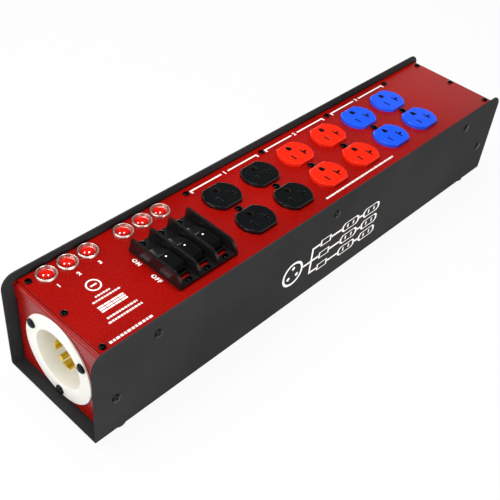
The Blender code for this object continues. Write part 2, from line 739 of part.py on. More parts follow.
def rocker_outline():
    """Side view of a rocker about its pivot: (y, z), level, with its crown in the middle."""
    centre = (0.0, ROCKER_CROWN - ROCKER_CROWN_RADIUS)
    crown = arc(centre, ROCKER_CROWN_RADIUS, math.pi / 2 - ROCKER_TILT,
                math.pi / 2 + ROCKER_TILT, 4)
    return [(-ROCKER_HUB, -ROCKER_HUB), (ROCKER_HUB, -ROCKER_HUB),
            (ROCKER_HALF, ROCKER_SKIRT), (ROCKER_HALF, ROCKER_SHOULDER), *crown,
            (-ROCKER_HALF, ROCKER_SHOULDER), (-ROCKER_HALF, ROCKER_SKIRT)]


def make_breaker_rockers():
    """Each rocker turns on a pin across its breaker, and rests with its far half down."""
    rocker = outline_mesh([rocker_outline()], ROCKER_WIDTH)
    rocker.transform(Matrix.Rotation(-ROCKER_TILT, 4, "X") @ EDGE_ON)
    bore = rod_mesh(PIN_RADIUS + GAP, ROCKER_WIDTH * 2, 12, TURN_TO_X)
    for index, x in enumerate(breaker_centres()):
        piece = add_piece(f"breaker_rocker_{index + 1}", rocker, black_nylon,
                          (x, BREAKER_Y, PIVOT_Z), smooth=True)
        cut(piece, [(bore, Matrix())])


def make_lamps():
    """Each lamp is a chrome bezel with its ring nut, and a red lens with its lamp below."""
    mouth = BEZEL_MOUTH
    nut_top = -SHEET - 2 * GAP
    nut_low = nut_top - NUT_HEIGHT
    bezel = turned_mesh(
        [(mouth, BEZEL_RISE), (BEZEL_RADIUS - BEZEL_SLOPE, BEZEL_RISE),
         (BEZEL_RADIUS, BEZEL_RIM), (BEZEL_RADIUS, 0.0), (NECK_RADIUS, 0.0),
         (NECK_RADIUS, nut_top), (NUT_RADIUS, nut_top), (NUT_RADIUS, nut_low),
         (NECK_BORE, nut_low), (NECK_BORE, -LEDGE_DROP), (mouth, -LEDGE_DROP)],
        LAMP_SIDES, closed=True)
    edge = mouth - GAP
    core = NECK_BORE - GAP
    ledge = -LEDGE_DROP + GAP
    dome = [(edge * math.sin(angle), LENS_RISE * math.cos(angle))
            for angle in (math.pi / 2 * step / 4 for step in range(4))]
    lens = turned_mesh([*dome, (edge, ledge), (core, ledge), (core, -LAMP_LENGTH),
                        (0.0, -LAMP_LENGTH)], LAMP_SIDES)
    for index, x in enumerate(lamp_centres()):
        place = (x, LAMP_Y, SEAT)
        add_piece(f"lamp_bezel_{index + 1}", bezel, chrome, place, smooth=True)
        add_piece(f"lamp_lens_{index + 1}", lens, red_lens, place, smooth=True)


def inlet_screw_places():
    """(y, z) of the three screws round the inlet flange."""
    angles = [INLET_SCREW_START + math.tau * index / 3 for index in range(3)]
    return [(INLET_SCREW_CIRCLE * math.cos(a), INLET_Z + INLET_SCREW_CIRCLE * math.sin(a))
            for a in angles]


def blade_outline(angle, grow=0.0):
    """A curved blade seen end on, at an angle round the inlet's axis."""
    half = BLADE_SPAN / 2 + grow / BLADE_CIRCLE
    outer = arc((0, 0), BLADE_CIRCLE + BLADE_THICKNESS / 2 + grow, angle - half,
                angle + half, 6)
    inner = arc((0, 0), BLADE_CIRCLE - BLADE_THICKNESS / 2 - grow, angle + half,
                angle - half, 6)
    return outer + inner


def make_inlet():
    """The white inlet's front is turned about the axis, then the screw holes are cut."""
    front = FLANGE_THICKNESS
    barrel = CAVITY_RADIUS + BARREL_WALL
    floor = -(CAVITY_DEPTH - FLANGE_THICKNESS)
    back = floor - CAVITY_FLOOR
    profile = [(0.0, floor), (CAVITY_RADIUS, floor), (CAVITY_RADIUS, front - FLANGE_ROUND),
               (CAVITY_RADIUS + FLANGE_ROUND, front), (FLANGE_RADIUS - FLANGE_ROUND, front),
               (FLANGE_RADIUS, front - FLANGE_ROUND), (FLANGE_RADIUS, 0.0), (barrel, 0.0),
               (barrel, back), (0.0, back)]
    mesh = turned_mesh(profile, INLET_SIDES)
    seat = INLET_FACE - GAP
    # The blade outlines are drawn in XY, and this turns X to Y, Y to Z and Z to -X.
    face_out = Matrix(((0, 0, -1, 0), (-1, 0, 0, 0), (0, 1, 0, 0), (0, 0, 0, 1)))
    mesh.transform(face_out)
    housing = add_piece("inlet_housing", mesh, white_nylon, (seat, 0, INLET_Z), smooth=True)
    drill = rod_mesh(SHANK_HOLE, FLANGE_THICKNESS * 4, SCREW_SIDES, TURN_TO_X)
    tools = [(drill, at(0, y, z - INLET_Z)) for y, z in inlet_screw_places()]
    tip = front - BLADE_SETBACK
    pin_tip = front - GROUND_PIN_SETBACK
    tail = back - BLADE_TAIL
    angles = [math.pi / 2 * index for index in range(4)]
    for angle in angles:
        slot = outline_mesh([blade_outline(angle, GAP)], CAVITY_FLOOR * 3)
        tools.append((slot, face_out @ at(0, 0, floor)))
    pin_hole = rod_mesh(GROUND_PIN_RADIUS + GAP, CAVITY_FLOOR * 3, 16)
    tools.append((pin_hole, face_out @ at(0, 0, floor)))
    cut(housing, tools)
    names = ("inlet_blade_x", "inlet_blade_y", "inlet_blade_z", "inlet_blade_neutral")
    for name, angle in zip(names, angles):
        blade = outline_mesh([blade_outline(angle)], tip - tail)
        blade.transform(face_out @ at(0, 0, (tip + tail) / 2))
        add_piece(name, blade, brass, (seat, 0, INLET_Z), smooth=True)
    pin = rod_mesh(GROUND_PIN_RADIUS, pin_tip - tail, 16)
    pin.transform(face_out @ at(0, 0, (pin_tip + tail) / 2))
    add_piece("inlet_ground_pin", pin, brass, (seat, 0, INLET_Z), smooth=True)
    screw = button_screw(INLET_SCREW_HEAD, INLET_SCREW_RISE, SCREW_SHANK, INLET_SCREW_LENGTH)
    screw.transform(TURN_TO_MINUS_X)
    for index, (y, z) in enumerate(inlet_screw_places()):
        add_piece(f"inlet_screw_{index + 1}", screw, black_oxide,
                  (seat - FLANGE_THICKNESS - GAP, y, z), smooth=True)


def make_bus_bars():
    """An angle screwed under the panel's far edge carries the neutral and ground bars."""
    first = row_screw_places()[0][0]
    last = row_screw_places()[-1][0]
    length = last - first + 2 * BRACKET_OVERHANG
    middle = (first + last) / 2
    wall = SHELL_WIDTH / 2 - BRACKET_EDGE - BRACKET_SHEET / 2
    inner = FACE_BASE[1] / 2 + 2 * GAP
    leg = box_mesh((length, BRACKET_SHEET, BRACKET_DEPTH))
    bracket = add_piece("bus_bracket", leg, zinc,
                        (middle, wall, UNDER_SEAT - BRACKET_DEPTH / 2))
    flat = box_mesh((length, wall - inner, BRACKET_SHEET))
    rise = BRACKET_DEPTH / 2 - BRACKET_SHEET / 2
    join(bracket, [(flat, at(0, (inner - wall) / 2, rise))])
    hole = rod_mesh(SHANK_HOLE, BRACKET_SHEET * 4, SCREW_SIDES)
    cut(bracket, [(hole, at(x - middle, y - wall, rise)) for x, y in row_screw_places()])
    bar = box_mesh((BAR_LENGTH, *BAR_SECTION))
    bar_y = wall - BRACKET_SHEET / 2 - GAP - BAR_SECTION[0] / 2
    screw = rod_mesh(BAR_SCREW_RADIUS, 2 * BAR_SCREW_RISE, 8, TURN_TO_Y)
    pitch = BAR_LENGTH / BAR_SCREW_COUNT
    screws = [(screw, at(pitch * (index - (BAR_SCREW_COUNT - 1) / 2), -BAR_SECTION[0] / 2, 0))
              for index in range(BAR_SCREW_COUNT)]
    for name, drop in (("neutral_bar", NEUTRAL_BAR_DROP), ("ground_bar", GROUND_BAR_DROP)):
        piece = add_piece(name, bar, brass, (middle, bar_y, UNDER_SEAT - drop))
        join(piece, screws)


clear_scene()
stringer = new_collection("power_stringer")
cutters = new_collection("cutters")
cutters.hide_render = True

black_powder = make_material("black_powder_coat", (0.012, 0.012, 0.013), 0.45)
red_powder = make_material("red_powder_coat", (0.45, 0.005, 0.005), 0.28)
black_oxide = make_material("black_oxide_steel", (0.01, 0.01, 0.01), 0.35, 0.6)
rubber = make_material("rubber", (0.01, 0.01, 0.01), 0.8)
zinc = make_material("zinc_plated_steel", (0.55, 0.56, 0.58), 0.35, 1.0)
steel = make_material("steel", (0.5, 0.5, 0.5), 0.3, 1.0)
brass = make_material("brass", (0.8, 0.58, 0.2), 0.3, 1.0)
chrome = make_material("chrome", (0.8, 0.8, 0.8), 0.08, 1.0)
red_lens = make_material("red_lens", (0.6, 0.01, 0.01), 0.1)
white_nylon = make_material("white_nylon", (0.8, 0.8, 0.76), 0.45)
black_nylon = make_material("black_nylon", (0.012, 0.012, 0.013), 0.35)
phenolic = make_material("phenolic", (0.02, 0.018, 0.016), 0.5)
outlet_plastics = [make_material("black_outlet", (0.012, 0.012, 0.013), 0.3),
                   make_material("red_outlet", (0.6, 0.02, 0.01), 0.3),
                   make_material("blue_outlet", (0.02, 0.1, 0.6), 0.3)]

make_shell()
make_top_panel()
make_end_plates()
make_feet()
make_outlets()
make_breaker_bodies()
make_breaker_guard()
make_breaker_rockers()
make_lamps()
make_inlet()
make_bus_bars()
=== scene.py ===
"""The looks of a three-phase power stringer box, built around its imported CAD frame.

+X runs from the inlet end to the far end, -Y is the near side, +Z is up, in metres.
"""

import math

import bmesh
import bpy
from mathutils import Matrix, Vector


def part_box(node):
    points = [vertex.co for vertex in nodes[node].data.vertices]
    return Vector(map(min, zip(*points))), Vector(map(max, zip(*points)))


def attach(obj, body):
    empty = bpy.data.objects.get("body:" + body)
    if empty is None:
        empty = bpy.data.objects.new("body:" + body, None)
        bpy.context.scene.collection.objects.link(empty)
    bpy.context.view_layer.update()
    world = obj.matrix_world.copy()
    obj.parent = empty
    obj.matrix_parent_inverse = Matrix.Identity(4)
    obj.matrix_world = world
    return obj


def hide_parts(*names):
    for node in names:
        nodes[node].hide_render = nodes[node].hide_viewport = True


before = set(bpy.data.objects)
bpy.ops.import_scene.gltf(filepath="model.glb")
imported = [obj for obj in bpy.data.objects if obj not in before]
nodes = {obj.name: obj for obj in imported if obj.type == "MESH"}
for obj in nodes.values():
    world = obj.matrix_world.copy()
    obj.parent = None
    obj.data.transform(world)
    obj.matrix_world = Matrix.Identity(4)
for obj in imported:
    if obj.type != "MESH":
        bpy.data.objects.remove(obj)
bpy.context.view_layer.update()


# Outer shell. One steel sheet, 1.6 mm thick, folded up into a bottom and two sides, and
# powder coated in black after it was cut, so that the coating eases its edges. The CAD
# sheet stays. Orange peel and a fine grit in the coating scatter its satin shine.

def linear(code):
    """An sRGB hex colour as the linear colour that a shader takes."""
    parts = [int(code[i:i + 2], 16) / 255 for i in (0, 2, 4)]
    return [p / 12.92 if p <= 0.04045 else ((p + 0.055) / 1.055) ** 2.4 for p in parts] + [1.0]


def add_node(material, kind, inputs=None, **settings):
    """Adds a shader node, with its settings, and its inputs as values or as links."""
    node = material.node_tree.nodes.new(kind)
    for name, value in settings.items():
        setattr(node, name, value)
    for name, value in (inputs or {}).items():
        if isinstance(value, bpy.types.NodeSocket):
            material.node_tree.links.new(value, node.inputs[name])
        else:
            node.inputs[name].default_value = value
    return node


def new_material(name, **numbers):
    """A Principled material with these uniform numbers, its shader and its coordinates."""
    material = bpy.data.materials.new(name)
    material.use_nodes = True
    shader = material.node_tree.nodes["Principled BSDF"]
    for key, value in numbers.items():
        shader.inputs[key.replace("_", " ").title().replace("Ior", "IOR")].default_value = value
    place = add_node(material, "ShaderNodeTexCoord")
    return material, shader, place.outputs["Object"]


def link(material, output, shader, name):
    material.node_tree.links.new(output, shader.inputs[name])


def powder_coat(name, dark, pale, rough, peel, sheen, coat=0.0):
    """Baked polyester powder: soft waves, 2.2 mm across, under a grit of 0.5 mm specks."""
    material, shader, place = new_material(name, metallic=0.0, coat_weight=coat,
                                           coat_roughness=0.16, specular_ior_level=sheen)
    # Real powder grit is about 0.1 mm, too fine to show here, so it is drawn five times
    # as coarse.
    grit = add_node(material, "ShaderNodeTexNoise",
                    {"Vector": place, "Scale": 2000.0, "Detail": 2.0, "Roughness": 0.6})
    wave = add_node(material, "ShaderNodeTexNoise",
                    {"Vector": place, "Scale": 450.0, "Detail": 1.0, "Roughness": 0.4})
    drift = add_node(material, "ShaderNodeTexNoise",
                     {"Vector": place, "Scale": 9.0, "Detail": 3.0, "Roughness": 0.5})
    share = add_node(material, "ShaderNodeMath",
                     {0: grit.outputs["Fac"], 1: drift.outputs["Fac"]}, operation="MULTIPLY")
    spread = add_node(material, "ShaderNodeMapRange",
                      {"Value": share.outputs[0], "From Min": 0.12, "From Max": 0.38})
    colour = add_node(material, "ShaderNodeMix",
                      {0: spread.outputs[0], 6: linear(dark), 7: linear(pale)},
                      data_type="RGBA")
    link(material, colour.outputs[2], shader, "Base Color")
    gloss = add_node(material, "ShaderNodeMapRange",
                     {"Value": grit.outputs["Fac"], "From Min": 0.3, "From Max": 0.7,
                      "To Min": rough - 0.05, "To Max": rough + 0.05})
    link(material, gloss.outputs[0], shader, "Roughness")
    height = add_node(material, "ShaderNodeMath",
                      {0: grit.outputs["Fac"], 1: 0.25, 2: wave.outputs["Fac"]},
                      operation="MULTIPLY_ADD")
    bump = add_node(material, "ShaderNodeBump",
                    {"Height": height.outputs[0], "Strength": peel, "Distance": 0.0002})
    link(material, bump.outputs["Normal"], shader, "Normal")
    return material


def ease_edges(piece, width, segments=2, angle=34):
    """Rounds a CAD solid's edges, as a mould, a tumbler or a coat of paint leaves them."""
    weld = piece.modifiers.new("weld", "WELD")
    weld.merge_threshold = 0.000002
    bevel = piece.modifiers.new("ease", "BEVEL")
    bevel.width = width
    bevel.segments = segments
    bevel.limit_method = "ANGLE"
    bevel.angle_limit = math.radians(angle)
    bevel.use_clamp_overlap = True
    normals = piece.modifiers.new("normals", "WEIGHTED_NORMAL")
    normals.keep_sharp = False


def dress(name, material, ease=0.0, segments=2, angle=34):
    """Gives a CAD node its finish, and its eased edges."""
    piece = nodes[name]
    if not piece.material_slots:
        piece.data.materials.append(material)
    for slot in piece.material_slots:
        slot.material = material
    if ease:
        ease_edges(piece, ease, segments, angle)


black_powder_coat = powder_coat("black_satin_powder_coat", "29292A", "363637", 0.55, 0.30, 0.01)
dress("shell", black_powder_coat, 0.00035)


# Rubber feet. Four moulded bumpers of black neoprene under the bottom sheet, each held by
# a pan head screw that sits deep in its bore. They are matt, with a dusty bloom.

FOOT_X = 0.233
FOOT_Y = 0.0413
FOOT_SCREW_Z = 0.0033
# The cross of a screw reaches this share of its head's radius
RECESS_REACH = 0.52


def turned(profile, sides, closed=False):
    """A mesh turned about Z from (radius, height) points."""
    bm = bmesh.new()
    rings = []
    for radius, height in profile:
        count = sides if radius > 1e-7 else 1
        rings.append([bm.verts.new((radius * math.cos(2 * math.pi * i / sides),
                                    radius * math.sin(2 * math.pi * i / sides), height))
                      for i in range(count)])
    pairs = list(zip(rings, rings[1:]))
    if closed:
        pairs.append((rings[-1], rings[0]))
    for upper, lower in pairs:
        for i in range(sides):
            j = (i + 1) % sides
            corners = [upper[i % len(upper)], lower[i % len(lower)],
                       lower[j % len(lower)], upper[j % len(upper)]]
            bm.faces.new(list(dict.fromkeys(corners)))
    bmesh.ops.recalc_face_normals(bm, faces=bm.faces)
    return bm


def softened(points, reach, steps=4):
    """A run of points with each inner corner rounded, up to this reach along its sides."""
    corners = [Vector((*point, 0.0)) for point in points]
    made = [corners[0]]
    for before, corner, after in zip(corners, corners[1:], corners[2:]):
        first = before - corner
        second = after - corner
        start = corner + first.normalized() * min(reach, first.length * 0.45)
        end = corner + second.normalized() * min(reach, second.length * 0.45)
        for step in range(steps + 1):
            t = step / steps
            made.append(start * (1 - t) ** 2 + corner * (2 * t * (1 - t)) + end * t ** 2)
    made.append(corners[-1])
    return [(point.x, point.y) for point in made]


def smooth_mesh(bm, name, angle=40):
    """The mesh of a bmesh, shaded smooth up to this angle between its faces."""
    mesh = bpy.data.meshes.new(name)
    bm.to_mesh(mesh)
    bm.free()
    mesh.shade_smooth()
    mesh.set_sharp_from_angle(angle=math.radians(angle))
    return mesh


def put(name, mesh, material, body="box", matrix=None, stands_for=()):
    """Adds a piece at its place, puts it under the body that carries it, and hides the nodes it
    stands for.
    """
    if not mesh.materials:
        mesh.materials.append(material)
    piece = bpy.data.objects.new(name, mesh)
    bpy.context.scene.collection.objects.link(piece)
    piece.matrix_world = matrix or Matrix()
    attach(piece, body)
    if stands_for:
        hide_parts(*stands_for)
    return piece


def carved(bm, tool):
    """A mesh with the closed shape of a tool cut out of it."""
    pair = []
    for part in (bm, tool):
        mesh = bpy.data.meshes.new("carving")
        part.to_mesh(mesh)
        part.free()
        pair.append(bpy.data.objects.new("carving", mesh))
        bpy.context.scene.collection.objects.link(pair[-1])
    step = pair[0].modifiers.new("carve", "BOOLEAN")
    step.operation = "DIFFERENCE"
    step.solver = "EXACT"
    step.object = pair[1]
    bpy.context.view_layer.update()
    graph = bpy.context.evaluated_depsgraph_get()
    result = bmesh.new()
    result.from_mesh(pair[0].evaluated_get(graph).to_mesh())
    for part in pair:
        bpy.data.objects.remove(part, do_unlink=True)
    return result


def cross_recess(arm, half, top, depth):
    """A tapered cross, as the point of a screwdriver leaves in a cold-headed screw."""
    outline = [(half, half), (arm, half), (arm, -half), (half, -half), (half, -arm),
               (-half, -arm), (-half, -half), (-arm, -half), (-arm, half), (-half, half),
               (-half, arm), (half, arm)]
    bm = bmesh.new()
    upper = [bm.verts.new((x, y, top)) for x, y in outline]
    lower = [bm.verts.new((x * 0.55, y * 0.55, top - depth)) for x, y in outline]
    bm.faces.new(upper)
    bm.faces.new(lower)
    for i in range(len(outline)):
        j = (i + 1) % len(outline)
        bm.faces.new((upper[i], upper[j], lower[j], lower[i]))
    bmesh.ops.recalc_face_normals(bm, faces=bm.faces)
    return bm


def pan_screw(name, radius, rise, shank=0.0015, length=0.007):
    """A pan head screw with a cross recess, seated on z = 0 with its shank below."""
    dome = softened([(0.0, rise), (radius * 0.62, rise * 0.94), (radius * 0.98, rise * 0.5),
                     (radius, 0.0)], radius * 0.28)
    body = turned(dome + [(shank, 0.0), (shank, -length), (0.0, -length)], 24)
    recess = cross_recess(radius * RECESS_REACH, radius * 0.12, rise + 0.001,
                          0.001 + rise * 0.72)
    return smooth_mesh(carved(body, recess), name, 35)


def metal(name, dark, pale, rough, grain, scale=(1.0, 1.0, 1.0), strength=0.1, spread=0.08):
    """Bare or plated metal: its grain, in lines per metre, breaks the shine into streaks."""
    # Real grain lines lie about 0.1 mm apart, too fine to show here, so they are drawn 4 to
    # 11 times as coarse, over clouds of 6 mm.
    material, shader, place = new_material(name, metallic=1.0)
    stretch = add_node(material, "ShaderNodeMapping", {"Vector": place, "Scale": scale})
    fine = add_node(material, "ShaderNodeTexNoise",
                    {"Vector": stretch.outputs[0], "Scale": grain, "Detail": 3.0})
    cloud = add_node(material, "ShaderNodeTexNoise",
                     {"Vector": place, "Scale": 160.0, "Detail": 2.0})
    colour = add_node(material, "ShaderNodeMix",
                      {0: cloud.outputs["Fac"], 6: linear(dark), 7: linear(pale)},
                      data_type="RGBA")
    link(material, colour.outputs[2], shader, "Base Color")
    gloss = add_node(material, "ShaderNodeMapRange",
                     {"Value": fine.outputs["Fac"], "From Min": 0.3, "From Max": 0.7,
                      "To Min": max(rough - spread, 0.03), "To Max": rough + spread})
    link(material, gloss.outputs[0], shader, "Roughness")
    bump = add_node(material, "ShaderNodeBump",
                    {"Height": fine.outputs["Fac"], "Strength": strength,
                     "Distance": 0.00004})
    link(material, bump.outputs["Normal"], shader, "Normal")
    return material


# Black oxide on steel is a thin conversion coat, oiled: nearly black, with a small shine.
black_oxide = metal("black_oxide_steel_oiled", "1A1A1B", "29292B", 0.20, 1500.0)

# Moulded neoprene is dull, and its bloom greys it in patches of 1.4 mm.
rubber, shader, place = new_material("black_neoprene_moulded", roughness=0.8, ior=1.52)
bloom = add_node(rubber, "ShaderNodeTexNoise", {"Vector": place, "Scale": 700.0, "Detail": 4.0})
shade = add_node(rubber, "ShaderNodeMix",
                 {0: bloom.outputs["Fac"], 6: linear("141414"), 7: linear("2A2A29")},
                 data_type="RGBA")
link(rubber, shade.outputs[2], shader, "Base Color")
skin = add_node(rubber, "ShaderNodeBump",
                {"Height": bloom.outputs["Fac"], "Strength": 0.3, "Distance": 0.0001})
link(rubber, skin.outputs["Normal"], shader, "Normal")

foot_outline = softened([(0.0018, 0.0057), (0.0085, 0.0057), (0.0077, 0.0), (0.0037, 0.0),
                         (0.0037, 0.0034), (0.0018, 0.0034)], 0.0007)
foot_mesh = smooth_mesh(turned(foot_outline, 40, closed=True), "rubber_foot")
foot_screw = pan_screw("foot_screw", 0.0030, 0.0019, length=0.009)
foot_places = [(x, y) for x in (-FOOT_X, FOOT_X) for y in (-FOOT_Y, FOOT_Y)]
for index, (x, y) in enumerate(foot_places):
    put(f"foot_bumper_{index + 1}", foot_mesh, rubber, matrix=Matrix.Translation((x, y, 0)),
        stands_for=[f"rubber_foot_{index + 1}"])
    # Turned over, the head sits against the floor of the bore and the shank goes up.
    put(f"foot_screw_{index + 1}", foot_screw, black_oxide,
        matrix=Matrix.Translation((x, y, FOOT_SCREW_Z)) @ Matrix.Rotation(math.pi, 4, "X"))


# End plates. Each is the same steel sheet, with its top and sides bent back so that the
# panel and the shell can be screwed to it, in glossy red powder coat. The CAD sheets stay.

red_powder_coat = powder_coat("red_gloss_powder_coat", "820502", "9C0A03", 0.26, 0.16, 0.20,
                              coat=0.12)
for name in ("inlet_end_plate", "far_end_plate"):
    dress(name, red_powder_coat, 0.0003)


# Flanged inlet. A white nylon moulding with a thin round flange and a deep barrel, set in
# the inlet end plate. Four curved brass blades and a brass ground pin stand in it.

INLET_AXIS_Z = 0.048
INLET_SEAT_X = -0.2506
FLANGE_FACE_X = -0.25205
FLANGE_RADIUS = 0.0382
FLANGE_THICKNESS = 0.0014
CAVITY_RADIUS = 0.0254
CAVITY_FLOOR = -0.0266
BARREL_RADIUS = 0.0284
BARREL_END = -0.0346
OUT_OF_INLET = Matrix.Translation((INLET_SEAT_X, 0, INLET_AXIS_Z)) @ Matrix.Rotation(
    -math.pi / 2, 4, "Y")


def moulded(name, dark, pale, rough, ior=1.53, grain=0.0007, strength=0.08, **numbers):
    """Moulded plastic: a faint skin of this grain in metres, and a slight drift of colour."""
    # The skin of a real mould is about 0.1 mm, too fine to show here, so it is drawn 5 to 10
    # times as coarse.
    material, shader, place = new_material(name, metallic=0.0, ior=ior, **numbers)
    skin = add_node(material, "ShaderNodeTexNoise",
                    {"Vector": place, "Scale": 1 / grain, "Detail": 2.0, "Roughness": 0.5})
    flow = add_node(material, "ShaderNodeTexNoise",
                    {"Vector": place, "Scale": 60.0, "Detail": 2.0, "Distortion": 0.6})
    colour = add_node(material, "ShaderNodeMix",
                      {0: flow.outputs["Fac"], 6: linear(dark), 7: linear(pale)},
                      data_type="RGBA")
    link(material, colour.outputs[2], shader, "Base Color")
    gloss = add_node(material, "ShaderNodeMapRange",
                     {"Value": skin.outputs["Fac"], "From Min": 0.3, "From Max": 0.7,
                      "To Min": rough - 0.04, "To Max": rough + 0.04})
    link(material, gloss.outputs[0], shader, "Roughness")
    bump = add_node(material, "ShaderNodeBump",
                    {"Height": skin.outputs["Fac"], "Strength": strength,
                     "Distance": 0.0001})
    link(material, bump.outputs["Normal"], shader, "Normal")
    return material


# Nylon lets a little light in, so its shadows stay soft and warm.
white_nylon = moulded("white_nylon_moulded", "EFEDE4", "F8F7F2", 0.36, subsurface_weight=0.05,
                      subsurface_scale=0.002)
# Stamped brass, tumbled clean: a bright yellow whose shine runs in short streaks.
brass = metal("yellow_brass_stamped", "DFBE38", "F5DE62", 0.24, 900.0, (1.0, 6.0, 6.0))

mouth = softened([(0.0, CAVITY_FLOOR), (CAVITY_RADIUS, CAVITY_FLOOR),
                  (CAVITY_RADIUS, FLANGE_THICKNESS), (FLANGE_RADIUS, FLANGE_THICKNESS),
                  (FLANGE_RADIUS, 0.0)], 0.0008)
barrel = [(BARREL_RADIUS, 0.0), (BARREL_RADIUS, BARREL_END), (0.0, BARREL_END)]
housing = turned(mouth + barrel, 96)
put("inlet_moulding", smooth_mesh(housing, "inlet_moulding"), white_nylon,
    matrix=OUT_OF_INLET, stands_for=["inlet_housing"])
for name in ("inlet_blade_x", "inlet_blade_y", "inlet_blade_z", "inlet_blade_neutral"):
    dress(name, brass, 0.00035, 3)
dress("inlet_ground_pin", brass, 0.0005, 3)

inlet_screw = pan_screw("inlet_screw", 0.0042, 0.0023, length=0.008)
for index in range(3):
    low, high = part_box(f"inlet_screw_{index + 1}")
    middle = (low + high) / 2
    turn = Matrix.Rotation(0.5 + 1.1 * index, 4, "Z")
    seat = Matrix.Translation((FLANGE_FACE_X, middle.y, middle.z)) @ Matrix.Rotation(
        -math.pi / 2, 4, "Y")
    put(f"inlet_flange_screw_{index + 1}", inlet_screw, black_oxide, matrix=seat @ turn,
        stands_for=[f"inlet_screw_{index + 1}"])


# Bus bars. A zinc plated bracket under the panel carries the brass neutral and ground
# bars, with a row of wire screws on each.

# Bright zinc plate is a pale blue grey, a little cloudy.
zinc = metal("bright_zinc_plate", "B9BCBC", "D4D6D3", 0.28, 1200.0)
dress("bus_bracket", zinc, 0.0002)
dress("neutral_bar", brass, 0.0003)
dress("ground_bar", brass, 0.0003)


# Top panel. The same steel sheet, bent down along both long sides, in the same glossy red
# coat as the end plates, and let down inside the shell. The CAD sheet stays.

PANEL_TOP = 0.0913
dress("top_panel", red_powder_coat, 0.0003)


# Duplex outlets. Each is a nylon moulding in its phase's colour, whose two round faces
# stand up through the panel, screwed to a dark phenolic body that holds brass contacts.

OUTLETS_X = (-0.0669, -0.02086, 0.02518, 0.07122, 0.11726, 0.1633)
FACE_Y = 0.01945
BLADE_X = 0.00635
BLADE_Y = -0.0039
GROUND_Y = 0.0080
CONTACT_Z = 0.0848
OUTLET_SCREW_Z = 0.0916
# Nylon from a polished mould: a deep even colour with a clear gloss.
PHASE_PLASTICS = (
    moulded("black_outlet_nylon", "090B0C", "101314", 0.15, grain=0.0009,
            specular_ior_level=0.4),
    moulded("red_outlet_nylon", "DA1E0B", "E4260F", 0.15, grain=0.0009,
            specular_ior_level=0.35),
    moulded("blue_outlet_nylon", "144ADC", "1E58EC", 0.15, grain=0.0009,
            specular_ior_level=0.35))
# Pressed phenolic is a dull brown black, slightly grainy from its filler.
phenolic = moulded("dark_phenolic_pressed", "1B1714", "2A231E", 0.5, ior=1.6,
                   grain=0.0005, strength=0.15)


def bent_strip(points, thick, wide):
    """A strip of sheet metal that follows (x, z) points, this wide along Y."""
    bm = bmesh.new()
    sides = ([], [])
    for index, (x, z) in enumerate(points):
        before = Vector(points[max(index - 1, 0)])
        after = Vector(points[min(index + 1, len(points) - 1)])
        run = (after - before).normalized()
        off = Vector((-run.y, run.x)) * thick / 2
        for side, sign in zip(sides, (1, -1)):
            side.append([bm.verts.new((x + sign * off.x, y, z + sign * off.y))
                         for y in (-wide / 2, wide / 2)])
    loop = sides[0] + sides[1][::-1]
    for first, second in zip(loop, loop[1:] + loop[:1]):
        bm.faces.new((first[0], first[1], second[1], second[0]))
    for end in (0, 1):
        for i in range(len(points) - 1):
            bm.faces.new((sides[0][i][end], sides[0][i + 1][end],
                          sides[1][i + 1][end], sides[1][i][end]))
    bmesh.ops.recalc_face_normals(bm, faces=bm.faces)
    return bm


def add_to(bm, part, matrix):
    """Adds a bmesh to another at its place."""
    mesh = bpy.data.meshes.new("part")
    part.to_mesh(mesh)
    part.free()
    start = len(bm.verts)
    bm.from_mesh(mesh)
    bm.verts.ensure_lookup_table()
    bmesh.ops.transform(bm, matrix=matrix, verts=bm.verts[start:])


# One leaf of a contact, in (x, z). A pair of leaves grips each blade of a plug.
leaf = [(0.0016, -0.0002), (0.0008, -0.0022), (0.0009, -0.0045), (0.0014, -0.0100)]
contacts = bmesh.new()
for side in (-1, 1):
    for x, wide in ((-BLADE_X, 0.0060), (BLADE_X, 0.0074)):
        for mirror in (-1, 1):
            shape = [(mirror * a, b) for a, b in leaf]
            add_to(contacts, bent_strip(shape, 0.0004, wide),
                   Matrix.Translation((x, side * FACE_Y + BLADE_Y, CONTACT_Z)))
    for mirror in (-1, 1):
        shape = [(mirror * a * 1.35, b) for a, b in leaf]
        add_to(contacts, bent_strip(shape, 0.0005, 0.0040),
               Matrix.Translation((0.0, side * FACE_Y + GROUND_Y, CONTACT_Z)))
contact_mesh = smooth_mesh(contacts, "outlet_contacts", 50)

# Dark sleeves stand inside the slots of the face and make them dark: painted shade in the
# slots.
SLOT_HALF = 0.0011
SHADE_LINER_TOP = 0.0940
SHADE_LINER_FOOT = 0.0850
SHADE_LINER_GAP = 0.00002
SHADE_LINER_SKIN = 0.0002


def blade_slot(inset):
    """The straight slot's outline, drawn in by this much, as are the next two."""
    x = SLOT_HALF - inset
    y = 0.0035 - inset
    return [(-x, -y), (x, -y), (x, y), (-x, y)]


def tee_slot(inset):
    """The slot that takes a blade either way round."""
    x = SLOT_HALF - inset
    y = 0.0043 - inset
    leg = 0.0045 - inset
    return [(-x, -y), (x, -y), (x, -x), (leg, -x), (leg, x), (x, x), (x, y), (-x, y)]


def ground_hole(inset):
    """The ground pin's hole: flat at one end and round at the other."""
    radius = 0.0026 - inset
    turns = [math.pi * i / 8 for i in range(9)]
    round_end = [(radius * math.cos(t), 0.0004 + radius * math.sin(t)) for t in turns]
    return [(-radius, inset - 0.0030), (radius, inset - 0.0030)] + round_end


